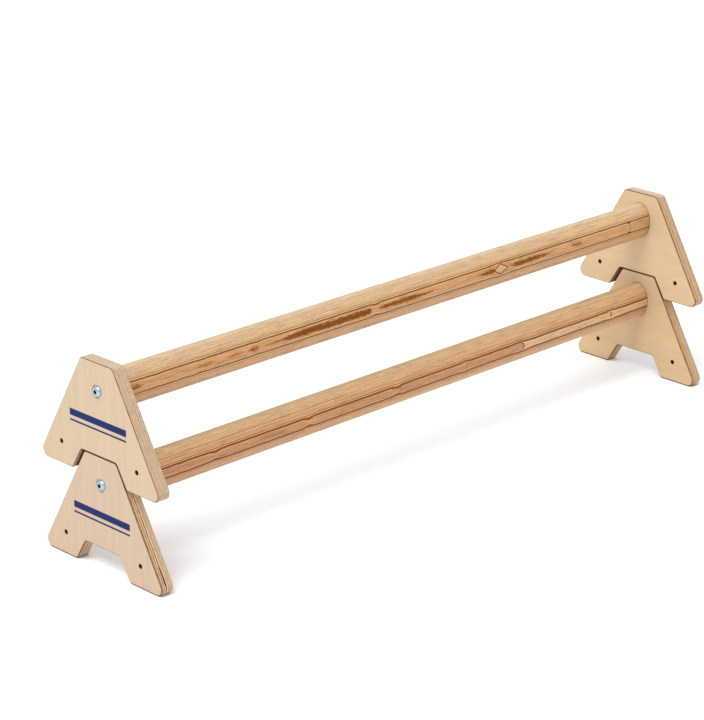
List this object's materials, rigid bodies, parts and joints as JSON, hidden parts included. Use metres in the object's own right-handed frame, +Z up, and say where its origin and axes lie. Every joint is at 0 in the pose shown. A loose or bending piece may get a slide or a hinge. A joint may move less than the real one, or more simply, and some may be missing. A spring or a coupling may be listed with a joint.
{
  "type": "stacked balance beam",
  "caption": "Low oval-rail balance beams on notched A-shaped plywood end plates, one stacked on the other by its foot notches.",
  "frame": {"origin": "on the floor under the centre of the stack's box", "axes": "+X along the bars, towards the right-hand end plates; +Y across the bars, towards the back; +Z up"},
  "size_m": [1.0052, 0.213, 0.262],
  "materials": {
    "birch_plywood": "clear matt lacquer over cream birch face veneer, with the plies showing on the cut edges",
    "laminated_bar": "clear satin lacquer over laminated veneer, tan to reddish brown with dark glue lines",
    "zinc_plated_steel": "bright blue-white zinc plate",
    "yellow_zinc_sleeve": "yellow passivated zinc plate"
  },
  "bodies": {
    "lower_beam": {"lower_bar": "laminated_bar", "lower_end_plate_left": "birch_plywood", "lower_screw_left": "zinc_plated_steel", "lower_washer_left": "zinc_plated_steel", "lower_threaded_sleeve_left": "yellow_zinc_sleeve", "lower_end_plate_right": "birch_plywood", "lower_screw_right": "zinc_plated_steel", "lower_washer_right": "zinc_plated_steel", "lower_threaded_sleeve_right": "yellow_zinc_sleeve"},
    "upper_beam": {"upper_bar": "laminated_bar", "upper_end_plate_left": "birch_plywood", "upper_screw_left": "zinc_plated_steel", "upper_washer_left": "zinc_plated_steel", "upper_threaded_sleeve_left": "yellow_zinc_sleeve", "upper_end_plate_right": "birch_plywood", "upper_screw_right": "zinc_plated_steel", "upper_washer_right": "zinc_plated_steel", "upper_threaded_sleeve_right": "yellow_zinc_sleeve"}
  },
  "joints": [
    {"name": "upper_beam_lift", "type": "slide", "parent": "lower_beam", "child": "upper_beam", "axis": [0, 0, 1], "range_m": [0, 0.1]}
  ]
}
